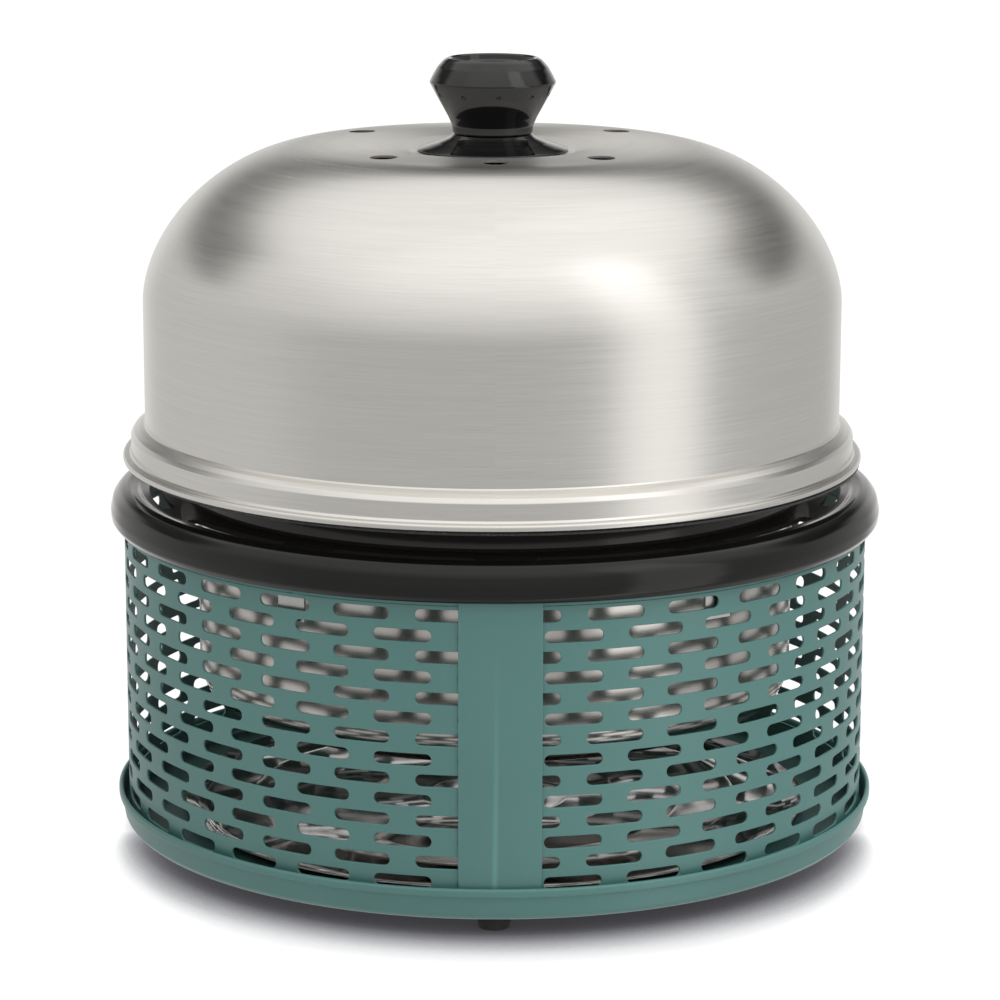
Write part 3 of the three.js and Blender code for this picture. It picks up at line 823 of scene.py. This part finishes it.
def knob():
    skirt = turned("knob_collar", [
        (5, 286.7), (31, 286.7, 0.4), (31, 287.4, 0.5), (28.6, 288.2, 2), (22.5, 290.0, 6),
        (17.6, 292.0, 3), (16.3, 293.4, 0.3), (5, 293.4),
    ], FINE)
    finished(shifted(skirt), "lid", "knob_plastic", KNOB_BLACK, "knob_skirt")
    body = turned("knob_body", [
        (0, 312), (4.4, 312), (4.4, 293.7), (16.1, 293.7, 0.3), (16.5, 294.3, 0.3), (16.7, 297.0, 4),
        (18.3, 300.6, 8), (23.3, 309.4, 9), (25.3, 313.2, 1.5), (25.9, 314.4, 0.5), (25.9, 315.0, 0.5),
        (24.6, 317.6, 5), (22.8, 320.8, 5), (20.2, 323.7, 4), (18.2, 324.8, 1.2), (17.0, 324.2, 0.5),
        (16.2, 321, 0.4), (0, 321),
    ], FINE, closed=False, steps=8)
    dimples = []
    for i in range(10):
        x, y = at(23.9, 36 * i + 6)
        dimples.append(ball(x, y, 309.8, 1.15))
    cut(body, gather("dimples", dimples))
    finished(shifted(body), "lid", "knob_plastic", KNOB_BLACK, "lid_knob")
    cap = turned("knob_disc", [
        (0, 321.3), (15.6, 321.3, 0.3), (15.6, 322.6, 0.5), (13.6, 322.7, 0.4), (12.8, 322.2, 0.6),
        (0, 322.5),
    ], SMOOTH, closed=False)
    finished(shifted(cap), "lid", "knob_plastic", KNOB_BLACK, "knob_cap")
    insert = turned("threaded_insert", [
        (2.5, 296), (4.1, 296, 0.3), (4.1, 301, 0.2), (3.7, 302, 0.2), (3.7, 305, 0.2), (4.1, 306, 0.2),
        (4.1, 311.7, 0.3), (2.5, 311.7),
    ], SMOOTH)
    finished(shifted(insert), "lid", "brass", BRASS, "knob_insert")
    washer = turned("screw_washer", [(3, 283.9), (8.5, 283.9, 0.3), (8.5, 285.2, 0.3), (3, 285.2)], SMOOTH)
    finished(shifted(washer), "lid", "fastener_steel", FASTENER, "knob_washer")
    add_screw("crown_screw", (LID_SHIFT, 0, 283.6), 2, 4.3, -28, 3, "knob_screw", "lid", down=True)


def ball(x, y, z, radius, rings=6, around=10):
    """Vertices and faces of a small sphere."""
    verts = [(x, y, z - radius)]
    for i in range(1, rings):
        t = math.pi * i / rings
        verts += [(x + radius * math.sin(t) * math.cos(math.tau * k / around),
                   y + radius * math.sin(t) * math.sin(math.tau * k / around), z - radius * math.cos(t))
                  for k in range(around)]
    verts.append((x, y, z + radius))
    last = len(verts) - 1
    faces = [(0, 1 + (k + 1) % around, 1 + k) for k in range(around)]
    for i in range(rings - 2):
        a, b = 1 + i * around, 1 + (i + 1) * around
        faces += [(a + k, a + (k + 1) % around, b + (k + 1) % around, b + k) for k in range(around)]
    top = 1 + (rings - 2) * around
    faces += [(top + k, top + (k + 1) % around, last) for k in range(around)]
    return verts, faces


# ---- stage ----
def camera():
    """About a metre and a half away, looking down a little."""
    data = bpy.data.cameras.new("camera")
    data.sensor_width, data.lens = 36, 131.6
    data.clip_start, data.clip_end = 0.05, 50
    cam = bpy.data.objects.new("camera", data)
    scene.collection.objects.link(cam)
    pitch, yaw, roll = math.radians(12.29), math.radians(-0.08), math.radians(0.15)
    tilt = Matrix.Rotation(math.pi / 2 - pitch, 4, "X") @ Matrix.Rotation(roll, 4, "Z")
    turn = Matrix.Rotation(yaw, 4, "Z") @ tilt
    cam.matrix_world = Matrix.Translation((0, -1.5, 0.466)) @ turn
    scene.camera = cam


def floor():
    """White paper. The camera sees it plain white with a contact shadow, and other rays see matt paper."""
    w = 4000
    obj = make("floor", [(-w, -w, 0), (w, -w, 0), (w, w, 0), (-w, w, 0)], [(0, 1, 2, 3)])
    paper = Shader("floor_paper")
    paper.set(Base_Color=(0.8, 0.8, 0.8, 1), Roughness=0.9, Specular_IOR_Level=0.1)
    closeness = paper.node("ShaderNodeAmbientOcclusion")
    closeness.samples = 8
    place = paper.node("ShaderNodeSeparateXYZ")
    paper.link(paper.coords, place.inputs[0])
    reach = paper.node("ShaderNodeMapRange")
    for name, value in (("From Min", -0.165), ("From Max", -0.02), ("To Min", 0.031), ("To Max", 0.008)):
        reach.inputs[name].default_value = value
    paper.link(place.outputs["Y"], reach.inputs["Value"])
    paper.link(reach.outputs["Result"], closeness.inputs["Distance"])
    seen = paper.node("ShaderNodeEmission")
    tone = paper.ramp(closeness.outputs["AO"], [
        (0.05, (0.03, 0.03, 0.033)), (0.35, (0.10, 0.10, 0.11)), (0.5, (0.20, 0.20, 0.215)),
        (0.75, (0.46, 0.47, 0.48)), (0.93, (0.9, 0.905, 0.91)), (0.985, (1, 1, 1)),
    ])
    paper.link(tone, seen.inputs["Color"])
    seen.inputs["Strength"].default_value = 1.05
    path = paper.node("ShaderNodeLightPath")
    mix = paper.node("ShaderNodeMixShader")
    paper.link(path.outputs["Is Camera Ray"], mix.inputs[0])
    paper.link(paper.bsdf.outputs[0], mix.inputs[1])
    paper.link(seen.outputs[0], mix.inputs[2])
    paper.link(mix.outputs[0], paper.tree.nodes["Material Output"].inputs[0])
    obj.data.materials.append(paper.material)
    obj.visible_glossy = False


def studio():
    """A white room: soft patches of light and grey by direction, and plain white behind."""
    world = bpy.data.worlds.new("studio")
    scene.world = world
    world.use_nodes = True
    tree = world.node_tree
    nodes, links = tree.nodes, tree.links
    nodes.clear()
    coords = nodes.new("ShaderNodeTexCoord")
    parts = nodes.new("ShaderNodeSeparateXYZ")
    links.new(coords.outputs["Generated"], parts.inputs[0])
    x, y, z = parts.outputs

    def op(kind, a, b=0.0):
        made = nodes.new("ShaderNodeMath")
        made.operation = kind
        for socket, value in zip(made.inputs, (a, b)):
            if isinstance(value, (int, float)):
                socket.default_value = value
            else:
                links.new(value, socket)
        return made.outputs[0]

    def ramp_up(value, low, high):
        made = nodes.new("ShaderNodeMapRange")
        made.interpolation_type = "SMOOTHSTEP"
        made.inputs["From Min"].default_value = low
        made.inputs["From Max"].default_value = high
        links.new(value, made.inputs["Value"])
        return made.outputs["Result"]

    def window(value, low, high, soft):
        rise = ramp_up(value, low - soft, low + soft)
        fall = ramp_up(value, high - soft, high + soft)
        return op("SUBTRACT", rise, fall)

    turn = op("MULTIPLY", op("ARCTAN2", x, op("MULTIPLY", y, -1.0)), 180 / math.pi)
    height = op("MULTIPLY", op("ARCSINE", z), 180 / math.pi)
    around = op("ABSOLUTE", turn)
    level = 0.55          # brightness of the walls between the patches
    patches = [
        # which azimuth; its from, to, softness; elevation from, to, softness; brightness added
        (turn, (41, 70, 4), (-80, 60, 10), 0.68),          # the tall window on the right
        (turn, (55, 150, 15), (44, 95, 8), 0.14),          # the ceiling, brighter on the right
        (turn, (-60, 40, 12), (12, 95, 12), 0.10),         # a little more light above the front
        (turn, (-150, -66, 12), (-80, 30, 10), 0.10),      # and low on the left
        (around, (106, 190, 9), (17, 39, 5), -0.62),       # a dark band low on the back wall
        (around, (150, 190, 8), (-80, 12, 5), 0.42),       # the bright wall behind
    ]
    total = op("MULTIPLY", ramp_up(height, 4, 64), 0.52)   # brighter towards the ceiling
    for azimuth, (a0, a1, soft_a), (e0, e1, soft_e), amount in patches:
        patch = op("MULTIPLY", window(azimuth, a0, a1, soft_a), window(height, e0, e1, soft_e))
        total = op("ADD", total, op("MULTIPLY", patch, amount))
    bright = op("ADD", total, level)
    room = nodes.new("ShaderNodeBackground")
    links.new(bright, room.inputs["Strength"])
    room.inputs["Color"].default_value = (1.0, 0.99, 0.97, 1)
    plain = nodes.new("ShaderNodeBackground")
    plain.inputs["Color"].default_value = (1, 1, 1, 1)
    plain.inputs["Strength"].default_value = 1.05
    path = nodes.new("ShaderNodeLightPath")
    mix = nodes.new("ShaderNodeMixShader")
    links.new(path.outputs["Is Camera Ray"], mix.inputs[0])
    links.new(room.outputs[0], mix.inputs[1])
    links.new(plain.outputs[0], mix.inputs[2])
    out = nodes.new("ShaderNodeOutputWorld")
    links.new(mix.outputs[0], out.inputs[0])


def soft_light(name, place, aim, size, power):
    """A lamp that lights the matt surfaces and shows in no reflection."""
    data = bpy.data.lights.new(name, "AREA")
    data.shape, data.size, data.size_y, data.energy = "RECTANGLE", size[0], size[1], power
    obj = bpy.data.objects.new(name, data)
    scene.collection.objects.link(obj)
    obj.location = place
    obj.rotation_euler = (Vector(aim) - Vector(place)).to_track_quat("-Z", "Y").to_euler()
    obj.visible_glossy = False
    obj.visible_camera = False


camera()
tray()
feet()
reflector()
perforated_sheet()
strap()
carrying_ring()
brackets()
bowl()
fire_basket()
bail()
grill_plate()
lid()
knob()
floor()
studio()
soft_light("top_light", (0.5, -0.4, 1.6), (0, 0, 0.1), (1.6, 1.6), 16)
scene.view_settings.view_transform = "Standard"
